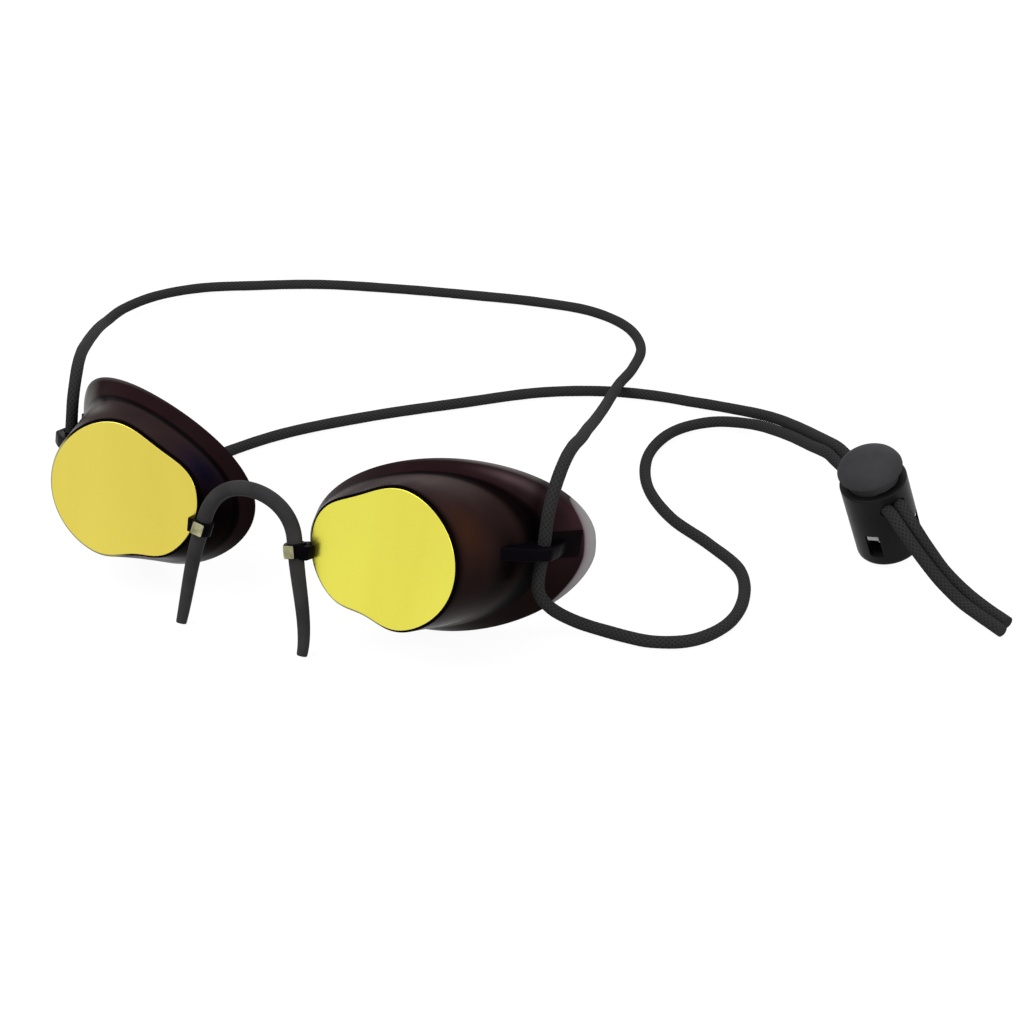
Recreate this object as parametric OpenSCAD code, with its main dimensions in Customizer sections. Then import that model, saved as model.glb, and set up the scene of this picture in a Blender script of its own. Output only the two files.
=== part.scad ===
// Swimming goggles of the one-piece cup kind: two moulded eye cups with flat mirrored faces,
// a rubber nose bridge threaded through their inner eyelets, and one elastic cord that passes
// through their outer lugs and is drawn tight by a sprung barrel lock.
// Millimetres. +X is the wearer's left, -Y is the way the goggles look, the table is z = 0.

/* [Lens face] */
// Length of the flat face, from nose end to temple end
lens_l = 37.8; // [34:0.1:42]
// Height of the flat face
lens_h = 32.7; // [30:0.1:35]
// Thickness of the window behind the face
window_t = 1.6; // [1.2:0.1:2.4]
// Width of the bevel round the face
bevel = 0.5; // [0.3:0.05:0.8]
// Thickness of the mirror coat
coat_t = 0.15; // [0.1:0.01:0.3]

/* [Eye cup] */
// Length of the side wall's foot, where the flange starts
throat_l = 48.8; // [46:0.1:52]
// Height of the side wall's foot
throat_h = 36.9; // [35:0.1:39]
// Length of the flange's outer edge
rim_l = 58.6; // [55:0.1:62]
// Height of the flange's outer edge
rim_h = 42.3; // [40:0.1:45]
// Depth of the side wall at the nose
throat_nose = 8.8; // [7:0.1:10]
// Depth of the side wall at the temple
throat_temple = 26.5; // [24:0.1:29]
// Depth of the flange's edge at the nose
rim_nose = 13.6; // [12:0.1:15]
// Depth of the flange's edge at the temple
rim_temple = 40.6; // [38:0.1:42]
// Thickness of the side wall
wall_t = 1.4; // [1:0.1:1.8]
// Thickness of the flange
flange_t = 1.2; // [0.8:0.1:1.6]

/* [Stance] */
// Distance between the centres of the two faces
face_pitch = 65.4; // [62:0.1:70]
// Angle by which the faces look towards each other
toe_in = 6.3; // [0:0.1:10]
// Angle by which the faces lean back
lean = 17.7; // [10:0.1:22]
// Angle by which each face is turned in its own plane
roll = 2; // [0:0.5:5]
// Distance of the faces' centres in front of the origin
face_front = 13.4; // [10:0.1:16]

/* [Nose bridge] */
// Diameter of the bridge tube
tube_d = 3.5; // [3:0.1:4]
// Diameter of the tube at its free ends
tail_d = 2.4; // [2:0.1:2.8]
// Height of the arch above the eyelets
arch_rise = 11.3; // [9:0.1:14]
// Distance of the arch's top behind the eyelets
arch_back = 2.5; // [0:0.1:5]
// Half the distance between the free ends
leg_spread = 15.7; // [13:0.1:18]
// Distance of the free ends in front of the origin
leg_reach = 21.2; // [19:0.1:24]
// Radial clearance of the tube in its eyelet
tube_fit = 0.05; // [0.03:0.01:0.1]
// Wall of the eyelet round the tube
ear_wall = 0.65; // [0.6:0.05:1.2]
// Height of the eyelet along the tube
ear_h = 3.2; // [2.6:0.1:4]
// Angle between the tube and the face's upright
ear_splay = 12.5; // [8:0.5:20]
// Distance of the tube's axis past the face's nose end
ear_out = 1.8; // [1.7:0.1:2.6]
// Distance of the eyelet's middle below the face's centre
ear_drop = 3.1; // [1:0.1:5]
// Distance of the tube's axis in front of the face
ear_front = 2.1; // [1.8:0.1:3]
// Width of the square pad on the eyelet's front
pad_w = 2.9; // [2.4:0.1:3.4]
// Height of the pad above the eyelet's round
pad_proud = 0.2; // [0.1:0.05:0.4]

/* [Cord] */
// Diameter of the elastic cord
cord_d = 3; // [2.6:0.1:3.2]
// Radial clearance of the cord in its lug
lug_fit = 0.2; // [0.1:0.05:0.3]
// Height of the lug along the cord
lug_h = 3; // [2.5:0.1:4]
// Wall of the lug outside the cord
lug_wall = 1.4; // [1:0.1:2]
// Wall between the lug's hole and the side wall's foot
lug_out = 0.9; // [0.7:0.1:1.4]
// Distance of the lug's middle above the face's centre
lug_rise = 3.4; // [1:0.1:6]
// Distance of the lug's hole in front of the side wall's foot
lug_front = 2.75; // [2:0.05:4]
// Height of the block on the flange behind the lug
block_h = 6.2; // [5:0.1:7]
// Length of the block along the flange
block_l = 8.8; // [7:0.1:10]
// Height of the block above the flange
block_proud = 0.5; // [0.3:0.1:0.8]

/* [Cord lock] */
// Diameter of the barrel
barrel_d = 16; // [15:0.1:17]
// Height of the barrel
barrel_h = 21; // [20:0.1:22]
// Wall of the barrel
barrel_wall = 1.8; // [1.4:0.1:2.2]
// Thickness of the barrel's floor
floor_t = 2; // [1.5:0.1:3]
// Depth of the cord slot's middle below the barrel's top
slot_drop = 4; // [3.8:0.1:4.5]
// Clearance round the two strands in the barrel's slot
slot_fit = 0.15; // [0.1:0.05:0.3]
// Diameter of the button's head
button_d = 15.4; // [14:0.1:16]
// Height of the button's domed head
button_h = 4.6; // [3.5:0.1:5.5]
// Travel of the button
travel = 2.4; // [2:0.1:2.4]
// Radial clearance of the plunger in the barrel
plunger_fit = 0.08; // [0.05:0.01:0.1]
// Width of a side window
window_w = 3.4; // [3:0.1:4]
// Height of a side window
window_h = 6.6; // [6:0.1:7]
// Wire diameter of the spring
wire_d = 0.8; // [0.6:0.1:0.9]
// Number of curls of the spring
curls = 5; // [4:1:5]

/* [Hidden] */

// Outlines of the cup, each a super-ellipse with a narrower nose end and a waist in each flank:
// [length, height, shift towards the temple, rise, power, slant, narrowing towards the nose, waists].
// A waist is [share of the height, place along the half length, width], for the upper and lower flank.
no_waists = [[0, 0, 1], [0, 0, 1]];
face_waists = [[0.225, -0.55, 0.52], [0.13, -0.2, 0.34]];
sections = 64;

function power(v, e) = sign(v) * pow(abs(v), 2 / e);
function waist(w, u) = 1 - w[0] * exp(-pow((u - w[1]) / w[2], 2));
function on_form(f, a) =
    let (u = power(cos(a), f[4]),
         v = power(sin(a), f[4]),
         y = f[1] / 2 * v * (1 + f[6] * u) * waist(f[7][v > 0 ? 0 : 1], u))
    [f[2] + f[0] / 2 * u + f[5] * y, f[3] + y];
// The same outline, drawn in by an even inset
function inset_form(f, a, inset) =
    let (d = on_form(f, a + 1) - on_form(f, a - 1))
    on_form(f, a) - inset * unit([d.y, -d.x]);
function on_face(a, inset) = inset_form(face_form, a, inset);

// The waists take some of the ellipse's height, so it is that much higher than the face
unit_face_ys = [for (i = [0 : sections - 1])
    on_form([2, 2, 0, 0, 2, 0, 0, face_waists], 360 * i / sections).y];
face_swell = 2 / (max(unit_face_ys) - min(unit_face_ys));
face_form = [lens_l, lens_h * face_swell, 0.16, 0.38, 2, 0, 0, face_waists];
throat_form = [throat_l, throat_h, 0.25, -0.57, 1.95, 0.185, 0.155, no_waists];
rim_form = [rim_l, rim_h, 2.8, -0.15, 1.95, 0.175, 0.135, no_waists];
// Depths of an outline: [at the nose, at the temple, power of the sweep, extra depth of the low side]
throat_sweep = [throat_nose, throat_temple, 2.3, 0.2];
rim_sweep = [rim_nose, rim_temple, 2.5, 0.28];
function sweep_depth(f, s, p) =
    let (share = min(1, max(0, (p.x - f[2] + f[0] / 2) / f[0])))
    s[0] + (s[1] - s[0]) * pow(share, s[2]) - s[3] * p.y * share;

// One section through the cup's wall, from the face's edge to the flange's edge and back inside.
// Each point is [x, y, z] in the cup's own frame: x to the temple, y up, z out of the face.
function face_at(a, inset, z) = let (p = on_face(a, inset)) [p.x, p.y, z];
function swept(f, s, a) = let (p = on_form(f, a)) [p.x, p.y, -sweep_depth(f, s, p)];
function mix(a, b, t) = a * (1 - t) + b * t;
function bend(a, b, c, t) = mix(mix(a, b, t), mix(b, c, t), t);
function unit(v) = v / norm(v);
// Direction from a flange or wall surface into the cup
function inward(a, b) =
    let (d = b - a,
         out = unit([d.x, d.y, 0]),
         along = unit(d))
    unit(-out * abs(along.z) + [0, 0, -1] * (out * along));
function section(a) =
    let (edge = face_at(a, 0, -bevel),
         foot = swept(throat_form, throat_sweep, a),
         rim = swept(rim_form, rim_sweep, a),
         wall_in = inward(edge, foot) * wall_t,
         flange_in = inward(foot, rim) * flange_t,
         foot_in = foot + (wall_in + flange_in) * 0.62,
         edge_in = face_at(a, wall_t, -window_t))
    concat([face_at(a, bevel, 0), edge],
           [for (t = [0.3, 0.6, 0.82]) mix(edge, foot, t)],
           [for (t = [0.35, 0.65]) bend(mix(edge, foot, 0.82), foot, mix(foot, rim, 0.3), t)],
           [for (t = [0.3, 0.65, 0.94]) mix(foot, rim, t)],
           [mix(foot, rim, 1) + flange_in * 0.5],
           [for (t = [0.92, 0.6, 0.3]) mix(foot_in, rim + flange_in, t)],
           [foot_in],
           [for (t = [0.75, 0.4]) mix(edge_in, foot_in, t)],
           [edge_in]);
rows = [for (i = [0 : sections - 1]) section(360 * i / sections)];

module cup_shell() {
    m = len(rows[0]);
    front = sections * m;
    back = front + 1;
    points = concat([for (r = rows) each r], [[0, 0, 0], [0, 0, -window_t]]);
    faces = [for (i = [0 : sections - 1]) let (j = (i + 1) % sections) each concat(
        [[front, j * m, i * m]],
        [for (k = [0 : m - 2]) each [[i * m + k, j * m + k, j * m + k + 1],
                                     [i * m + k, j * m + k + 1, i * m + k + 1]]],
        [[back, i * m + m - 1, j * m + m - 1]])];
    polyhedron(points, faces, convexity = 6);
}

// Eyelet of the nose bridge, just past the face's nose end and a little in front of it
ear_d = tube_d + 2 * (tube_fit + ear_wall);
nose_x = -lens_l / 2;
ear_at = [nose_x - ear_out, -ear_drop, ear_front];
pad_face = ear_d / 2 + pad_proud;
module at_ear() {
    translate(ear_at) rotate([0, 0, ear_splay]) rotate([-90, 0, 0]) children();
}
module ear_solid() {
    at_ear() {
        cylinder(d = ear_d, h = ear_h, center = true, $fn = 48);
        translate([0, -pad_face / 2, 0]) cube([pad_w, pad_face, ear_h], center = true);
    }
    // The neck hooks round the face's edge and stands clear of the coat
    neck_x = ear_at.x - tube_fit;
    clear = coat_t * 2;
    translate([0, ear_at.y - ear_h / 2, 0]) rotate([-90, 0, 0]) linear_extrude(ear_h)
        polygon([[nose_x + bevel + 0.2, clear], [nose_x + bevel + 0.2, -ear_front - ear_wall],
                 [neck_x, -ear_front - ear_d / 4], [neck_x, ear_front / 2],
                 [nose_x - bevel, window_t * 0.9], [nose_x + wall_t, window_t * 0.9],
                 [nose_x + wall_t, clear]]);
}

// Lug of the cord on the temple wall: a level rib with an upright hole
lug_bore = cord_d / 2 + lug_fit;
lug_at = [throat_l / 2 + lug_bore + lug_out, lug_rise, -(throat_temple - lug_front)];
module lug_solid() {
    tip = lug_at.x + lug_bore + lug_wall;
    half = lug_bore + lug_wall / 3;
    translate([0, lug_at.y + lug_h / 2, 0]) rotate([90, 0, 0]) linear_extrude(lug_h)
        polygon([[lens_l / 2 + wall_t, -throat_temple * 0.45], [tip - lug_bore * 1.5, lug_at.z + 2.5 * half],
                 [tip, lug_at.z + half], [tip, lug_at.z - half],
                 [tip - lug_bore * 0.6, lug_at.z - 3.5 * half],
                 [lug_at.x - lug_wall * 1.7, lug_at.z - 2.4 * half],
                 [throat_l / 2 - lug_out, lug_at.z - half]]);
}

// Block behind the lug, raised from the flange's outside, with its two short ends sloped.
// It's level with the lug and lies along the flange's line at this angle round the cup
block_angle = 12;
block_root = flange_t * 0.75;
block_edge = block_proud / 5;
module block_solid() {
    foot = swept(throat_form, throat_sweep, block_angle);
    rim = swept(rim_form, rim_sweep, block_angle);
    run = unit(rim - foot);
    out = -inward(foot, rim);
    start = foot + run * lug_front;
    function at(way, height) = let (p = start + run * way + out * height) [p.x, p.z];
    translate([0, lug_at.y + block_h / 2, 0]) rotate([90, 0, 0]) linear_extrude(block_h)
        polygon([at(0, -block_root), at(0, block_edge), at(block_proud, block_proud),
                 at(block_l - block_proud, block_proud), at(block_l, block_edge), at(block_l, -block_root)]);
}

module cup() {
    difference() {
        union() {
            cup_shell();
            ear_solid();
            lug_solid();
            block_solid();
        }
        at_ear() cylinder(r = tube_d / 2 + tube_fit, h = ear_h + 4, center = true, $fn = 48);
        translate(lug_at) rotate([90, 0, 0]) cylinder(r = lug_bore, h = lug_h + 2, center = true, $fn = 48);
    }
}

// From the cup's own frame to its stance, for the wearer's left cup. Its flange stands on the table.
function turn_z(p, a) = [p.x * cos(a) - p.y * sin(a), p.x * sin(a) + p.y * cos(a), p.z];
function turn_x(p, a) = [p.x, p.y * cos(a) - p.z * sin(a), p.y * sin(a) + p.z * cos(a)];
function turned(p) = turn_z(turn_x(turn_z(p, roll), 90 - lean), -toe_in);
face_centre = [face_pitch / 2, -face_front, -min([for (r = rows, p = r) turned(p).z])];
function stood(p) = turned(p) + face_centre;
echo(face_centre = face_centre);
module stand() {
    translate(face_centre) rotate([0, 0, -toe_in]) rotate([90 - lean, 0, 0]) rotate([0, 0, roll]) children();
}

module left_cup() { color("#3a2229") stand() cup(); }
module right_cup() { color("#3a2229") mirror([1, 0, 0]) stand() cup(); }

// The coat covers the flat face inside its bevel, and the front of the eyelet
module mirror_coat() {
    linear_extrude(coat_t)
        polygon([for (i = [0 : sections - 1]) on_face(360 * i / sections, bevel + 0.1)]);
    at_ear() translate([0, -pad_face - coat_t / 2, 0]) cube([pad_w - 0.2, coat_t, ear_h - 0.3], center = true);
}
module left_mirror_coat() { color("#e0d255") stand() mirror_coat(); }
module right_mirror_coat() { color("#e0d255") mirror([1, 0, 0]) stand() mirror_coat(); }

// A tube swept along points. Its rings carry one side vector along, so the tube never twists.
function along(points, i) =
    i == 0 ? unit(points[1] - points[0]) :
    i == len(points) - 1 ? unit(points[i] - points[i - 1]) :
    unit(unit(points[i + 1] - points[i]) + unit(points[i] - points[i - 1]));
function square_to(v, t) = unit(v - t * (v * t));
function frames(points) =
    let (n = len(points), start = along(points, 0))
    [for (i = 0, t = start, side = square_to(abs(start.z) > 0.9 ? [1, 0, 0] : [0, 0, 1], start);
          i < n;
          i = i + 1, t = along(points, min(i, n - 1)), side = square_to(side, t)) [t, side]];
function ring(centre, frame, r, sides) =
    let (side = frame[1], up = cross(side, frame[0]))
    [for (k = [0 : sides - 1]) let (a = 360 * (k + 0.5) / sides) centre + r * (side * cos(a) + up * sin(a))];
function ring_radius(r, i) = is_list(r) ? r[i] : r;
module tube_along(points, r, sides) {
    n = len(points);
    at = frames(points);
    verts = [for (i = [0 : n - 1]) each ring(points[i], at[i], ring_radius(r, i), sides)];
    body = [for (i = [0 : n - 2], k = [0 : sides - 1]) let (l = (k + 1) % sides) each
        [[i * sides + k, i * sides + l, (i + 1) * sides + l],
         [i * sides + k, (i + 1) * sides + l, (i + 1) * sides + k]]];
    last = (n - 1) * sides;
    ends = concat([for (k = [1 : sides - 2]) [0, k + 1, k]],
                  [for (k = [1 : sides - 2]) [last, last + k, last + k + 1]]);
    polyhedron(verts, concat(body, ends), convexity = 10);
}

// Nose bridge: one tube, from a tapered leg on the table up through an eyelet, over the arch and
// down again. Round sleeves in the eyelets are a hair thicker than the tube between them.
ear_point = stood(ear_at);
ear_axis = turned([-sin(ear_splay), cos(ear_splay), 0]);
grip = ear_h / 2 + 1;
sleeve_step = 0.03;
leg_rise = [0, 3.4, 5];
leg_end = [leg_spread, -leg_reach, tail_d / 2 * leg_rise.y / norm(leg_rise)];
arch_top = [0, ear_point.y + arch_back, ear_point.z + arch_rise];
function curve(p, t) =
    pow(1 - t, 3) * p[0] + 3 * pow(1 - t, 2) * t * p[1] + 3 * (1 - t) * t * t * p[2] + pow(t, 3) * p[3];
arch_side = let (a = ear_point + ear_axis * grip)
    [a, a + ear_axis * arch_rise / 2, [ear_point.x * 0.46, arch_top.y, arch_top.z], arch_top];
leg_side = let (a = ear_point - ear_axis * grip)
    [leg_end, leg_end + leg_rise, a - ear_axis * ear_point.z * 0.3, a];
arch_steps = 9;
leg_steps = 8;
tube_sides = 20;
bridge_half = concat([for (i = [0 : leg_steps]) curve(leg_side, i / leg_steps)],
                     [for (i = [0 : arch_steps]) curve(arch_side, i / arch_steps)]);
bridge_r = [for (i = [0 : leg_steps + arch_steps + 1])
    mix(tail_d, tube_d - 2 * sleeve_step, min(1, pow(i / leg_steps, 0.7))) / 2];
function there_and_back(half, other) = concat(half, [for (i = [len(half) - 2 : -1 : 0]) other[i]]);
sleeve_short = 0.4;
module sleeve() {
    side = square_to([1, 0, 0], ear_axis);
    up = cross(ear_axis, side);
    multmatrix([for (i = [0 : 2]) [side[i], up[i], ear_axis[i], ear_point[i]]])
        cylinder(d = tube_d, h = 2 * grip - sleeve_short, center = true, $fn = 48);
}
module nose_bridge_tube() {
    color("#2b2b2d") {
        tube_along(there_and_back(bridge_half, [for (p = bridge_half) [-p.x, p.y, p.z]]),
                   there_and_back(bridge_r, bridge_r), tube_sides);
        sleeve();
        mirror([1, 0, 0]) sleeve();
    }
}

// Cord lock's stance: its base on the table, leaning, with the cord slot level and turned outwards
lock_base = [125.6, 73.4, 2.75];
lock_turn = -45;
lock_lean = 20;
module lock_stance() {
    translate(lock_base) rotate([0, 0, lock_turn]) rotate([lock_lean, 0, 0]) children();
}
function in_lock(p) = lock_base + turn_z(turn_x(p, lock_lean), lock_turn);
slot_z = barrel_h - slot_drop;
strand_gap = cord_d / 2 + 0.15;
slot_half = strand_gap + cord_d / 2 + slot_fit;
function lock_strand(side) = [for (x = [-20, -10, 9.5]) in_lock([x, side * strand_gap, slot_z])];

// Routes of the cord, from each lug outwards
left_lug = stood(lug_at);
right_lug = [-left_lug.x, left_lug.y, left_lug.z];
head_route = concat([left_lug], [
    [62.2, 10.2, 33], [62.2, 14.2, 37.6], [61.6, 20.4, 39.6], [60.2, 28.4, 38.4], [57.2, 41.4, 33.2],
    [52.6, 57.4, 26], [47.5, 76.4, 17.6], [42.9, 95.4, 10.6], [38.5, 118, 5], [37.1, 133, 2.4],
    [34.3, 147.1, 1.5], [26.2, 157.6, 1.5], [13, 163.1, 1.5], [-4, 162.6, 1.5], [-24, 159, 1.5],
    [-48, 153.6, 1.5], [-70.2, 147.2, 1.5], [-88.2, 139.6, 1.5], [-101.8, 128.4, 1.5],
    [-109.8, 117, 1.6], [-113.2, 105.6, 2.8], [-110.8, 92, 6.8], [-102.8, 77.2, 14],
    [-91.2, 58.3, 23], [-79.6, 39.8, 31], [-69.8, 24.7, 36.6], [-64, 15.7, 37.6],
    [-62, 10.2, 33]], [right_lug]);
right_route = concat([right_lug], [
    [-62, 4.2, 14], [-61.8, 2.6, 9], [-61.2, 3.8, 4], [-60.6, 8.2, 1.6], [-57, 22.2, 1.5],
    [-48.8, 40.7, 1.5], [-36.8, 61.6, 1.5], [-19.8, 79.6, 1.5], [0.2, 96.6, 1.5], [19.2, 111.6, 1.5],
    [38.2, 119.9, 1.5], [57.2, 122.5, 1.5], [70.2, 121.1, 2.8], [82.3, 114.9, 6.6], [92.4, 104.6, 11.4],
    [100.8, 94.5, 15.8]], lock_strand(1),
    [[132.1, 61, 17.6], [137.2, 59.4, 12.4], [142.2, 58.7, 7.4], [148.2, 58.1, 3.2], [153.6, 56.1, 1.6],
     [158, 53.3, 1.5]]);
left_route = concat([left_lug], [
    [62.1, 4.6, 15], [64, 5.8, 10.6], [68.4, 10.1, 5], [75.4, 13.2, 1.9], [86, 14.1, 1.5],
    [94.3, 18.4, 1.5], [99.5, 27.3, 1.5], [99.8, 38.2, 1.5], [95.4, 49.2, 1.5], [85, 57.1, 1.5],
    [72.4, 64.8, 1.5], [61.8, 77, 1.5], [57, 92.2, 1.5], [59.4, 106, 1.5], [67.1, 113.4, 2],
    [78.1, 112.4, 4.4], [90.2, 102.5, 9.4], [99.8, 90.7, 14.6]], lock_strand(-1),
    [[130.1, 58.7, 17], [135.6, 56.4, 12.4], [141, 55.5, 7.4], [146.7, 54.9, 3.2], [152, 53.1, 1.6],
     [157.5, 49.5, 1.5]]);
cord_sides = 8;
module head_cord() { color("#2a2a2b") tube_along(head_route, cord_d / 2, cord_sides); }
module left_cord() { color("#2a2a2b") tube_along(left_route, cord_d / 2, cord_sides); }
module right_cord() { color("#2a2a2b") tube_along(right_route, cord_d / 2, cord_sides); }

// A hole for the two strands, level and through the lock's middle, taller than they are by rise
slot_r = cord_d / 2 + slot_fit;
module strand_slot(rise, z) {
    hull() for (side = [-1, 1], up = [0, rise]) translate([0, side * (slot_half - slot_r), z + up])
        rotate([0, 90, 0]) cylinder(r = slot_r, h = barrel_d + 4, center = true, $fn = 48);
}

// Barrel: a blind sleeve with the cord slot near its mouth and four side windows
barrel_bore = barrel_d / 2 - barrel_wall;
window_z = floor_t + 1;
window_at = [50, 130, 230, 310];
edge_r = 0.8;
module lock_barrel() {
    color("#1f1f21") lock_stance() difference() {
        rotate_extrude($fn = 96) polygon([
            [0, 0], [barrel_d / 2 - edge_r, 0], [barrel_d / 2 - edge_r * 0.3, edge_r * 0.3],
            [barrel_d / 2, edge_r], [barrel_d / 2, barrel_h - edge_r / 2],
            [barrel_d / 2 - edge_r / 2, barrel_h], [barrel_bore, barrel_h], [barrel_bore, floor_t],
            [0, floor_t]]);
        strand_slot(0, slot_z);
        for (a = window_at) rotate([0, 0, a]) translate([barrel_bore - 1, -window_w / 2, window_z])
            cube([barrel_wall + 2, window_w, window_h]);
    }
}

// Plunger: its skirt carries four catches in the windows, its domed head is the button
plunger_r = barrel_bore - plunger_fit;
skirt_t = 1;
head_z = barrel_h + travel + 0.1;
catch_h = 1.6;
catch_fit = 0.25;
// The catches stop short of the barrel's outside by this much
catch_sunk = 0.3;
catch_top = window_z + window_h - 0.05;
skirt_z = catch_top - catch_h;
spring_top = slot_z - slot_r - 2.6;
module lock_plunger() {
    color("#252527") lock_stance() difference() {
        union() {
            rotate_extrude($fn = 96) polygon([
                [0, spring_top], [plunger_r - skirt_t, spring_top], [plunger_r - skirt_t, skirt_z],
                [plunger_r, skirt_z], [plunger_r, head_z], [button_d / 2 - 0.7, head_z],
                [button_d / 2 - 0.15, head_z + 0.35], [button_d / 2, head_z + 0.9],
                [button_d / 2 - 0.2, head_z + 1.5], [button_d / 2 - 0.9, head_z + button_h * 0.58],
                [button_d * 0.33, head_z + button_h * 0.84], [button_d * 0.16, head_z + button_h * 0.96],
                [0, head_z + button_h]]);
            for (a = window_at) rotate([0, 0, a])
                translate([plunger_r - skirt_t, -window_w / 2 + catch_fit, skirt_z])
                    cube([skirt_t + barrel_wall - catch_sunk, window_w - 2 * catch_fit, catch_h]);
        }
        strand_slot(travel, slot_z);
    }
}

// Spring under the plunger: an open helix whose ends turn straight down and up for one wire
spring_room = 0.4;
spring_r = plunger_r - skirt_t - wire_d / 2 - spring_room;
curl_rings = 8;
spring_low = floor_t + wire_d * 1.5;
spring_high = spring_top - wire_d * 1.5;
function helix(i) =
    let (n = curls * curl_rings, a = 360 * i / curl_rings)
    [spring_r * cos(a), spring_r * sin(a), spring_low + (spring_high - spring_low) * i / n];
// Each end leaves the helix on a short quarter turn
function spring_end(a, z, way) = [spring_r * cos(a), spring_r * sin(a), z + way * wire_d];
spring_route = concat([spring_end(-11, floor_t, 0), spring_end(-11, floor_t, 1), spring_end(-8, spring_low, -0.2)],
                      [for (i = [0 : curls * curl_rings]) helix(i)],
                      [spring_end(8, spring_high, 0.2), spring_end(11, spring_top, -1),
                       spring_end(11, spring_top, 0)]);
spring_gap = min([for (i = [0 : 2], j = [curl_rings : curls * curl_rings]) if (j - i >= curl_rings - 1)
    norm(helix(i) - helix(j))]) - wire_d;
echo(least_gap_of_spring = spring_gap);
module lock_spring() {
    color("#b9bcc0") lock_stance() tube_along(spring_route, wire_d / 2, 6);
}

left_cup();
right_cup();
left_mirror_coat();
right_mirror_coat();
nose_bridge_tube();
head_cord();
left_cord();
right_cord();
lock_barrel();
lock_plunger();
lock_spring();
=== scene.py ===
"""Swimming goggles: shells, braided cord and finishes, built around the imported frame."""
from math import ceil, copysign, cos, exp, inf, pi, radians, sin, sqrt, tan

import bmesh
import bpy
import numpy as np
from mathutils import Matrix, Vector
from numpy.linalg import norm

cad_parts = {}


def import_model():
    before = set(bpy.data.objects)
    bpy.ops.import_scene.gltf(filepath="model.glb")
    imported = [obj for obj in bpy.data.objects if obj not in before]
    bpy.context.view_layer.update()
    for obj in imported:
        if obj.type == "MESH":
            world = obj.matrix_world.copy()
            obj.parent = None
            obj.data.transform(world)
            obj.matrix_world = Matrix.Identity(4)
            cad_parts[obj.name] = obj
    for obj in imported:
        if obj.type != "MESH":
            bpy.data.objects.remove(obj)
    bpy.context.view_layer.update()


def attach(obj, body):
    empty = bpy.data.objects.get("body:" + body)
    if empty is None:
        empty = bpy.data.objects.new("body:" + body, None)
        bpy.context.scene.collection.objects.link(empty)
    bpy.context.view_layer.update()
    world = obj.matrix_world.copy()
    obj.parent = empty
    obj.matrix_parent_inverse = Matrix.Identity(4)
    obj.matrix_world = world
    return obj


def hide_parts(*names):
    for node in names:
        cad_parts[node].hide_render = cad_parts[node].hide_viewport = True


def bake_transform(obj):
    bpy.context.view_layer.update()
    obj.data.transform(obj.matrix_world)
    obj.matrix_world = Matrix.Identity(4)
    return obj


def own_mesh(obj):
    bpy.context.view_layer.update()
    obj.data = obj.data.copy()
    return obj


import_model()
MM = 0.001


def vec(*parts):
    """A point, direction or colour."""
    return np.array(parts)


# Driving sizes, in millimetres, as in the part's source

LENS_L, LENS_H, WINDOW_T, BEVEL, COAT_T = 37.8, 32.7, 1.6, 0.5, 0.15
THROAT_L, THROAT_H, RIM_L, RIM_H = 48.8, 36.9, 58.6, 42.3
THROAT_NOSE, THROAT_TEMPLE, RIM_NOSE, RIM_TEMPLE = 8.8, 26.5, 13.6, 40.6
WALL_T, FLANGE_T = 1.4, 1.2
FACE_CENTRE, TOE_IN, LEAN, ROLL = vec(32.7, -13.4, 26.9794), 6.3, 17.7, 2.0
TUBE_D, TAIL_D, ARCH_RISE, ARCH_BACK, LEG_SPREAD, LEG_REACH = 3.5, 2.4, 11.3, 2.5, 15.7, 21.2
TUBE_FIT, EAR_WALL, EAR_H, EAR_SPLAY, EAR_OUT, EAR_DROP, EAR_FRONT = 0.05, 0.65, 3.2, 12.5, 1.8, 3.1, 2.1
PAD_W, PAD_PROUD = 2.9, 0.2
CORD_D, LUG_FIT, LUG_H, LUG_WALL, LUG_OUT, LUG_RISE, LUG_FRONT = 3.0, 0.2, 3.0, 1.4, 0.9, 3.4, 2.75
BLOCK_H, BLOCK_L, BLOCK_PROUD, BLOCK_ANGLE = 6.2, 8.8, 0.5, 12
BARREL_D, BARREL_H, BARREL_WALL, FLOOR_T, SLOT_DROP, SLOT_FIT = 16.0, 21.0, 1.8, 2.0, 4.0, 0.15
BUTTON_D, BUTTON_H, TRAVEL, PLUNGER_FIT, WINDOW_W, WINDOW_H = 15.4, 4.6, 2.4, 0.08, 3.4, 6.6
WIRE_D, CURLS, SKIRT_T = 0.8, 5, 1.0
LOCK_BASE, LOCK_TURN, LOCK_LEAN = vec(125.6, 73.4, 2.75), -45.0, 20.0

NOSE_X = -LENS_L / 2
EAR_D = TUBE_D + 2 * (TUBE_FIT + EAR_WALL)
EAR_AT = vec(NOSE_X - EAR_OUT, -EAR_DROP, EAR_FRONT)
LUG_BORE = CORD_D / 2 + LUG_FIT
LUG_AT = vec(THROAT_L / 2 + LUG_BORE + LUG_OUT, LUG_RISE, -(THROAT_TEMPLE - LUG_FRONT))

# Waists of an outline, upper and lower: (depth, place, width)
NO_WAISTS = ((0, 0, 1), (0, 0, 1))
FACE_WAISTS = ((0.225, -0.55, 0.52), (0.13, -0.2, 0.34))
# The ellipse is this much higher than the face, because the waists take it away
FACE_SWELL = 1.05252
# Outlines of the cup: (length, height, shift, rise, power, slant, narrowing, waists)
FACE_FORM = (LENS_L, LENS_H * FACE_SWELL, 0.16, 0.38, 2, 0, 0, FACE_WAISTS)
THROAT_FORM = (THROAT_L, THROAT_H, 0.25, -0.57, 1.95, 0.185, 0.155, NO_WAISTS)
RIM_FORM = (RIM_L, RIM_H, 2.8, -0.15, 1.95, 0.175, 0.135, NO_WAISTS)
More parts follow.
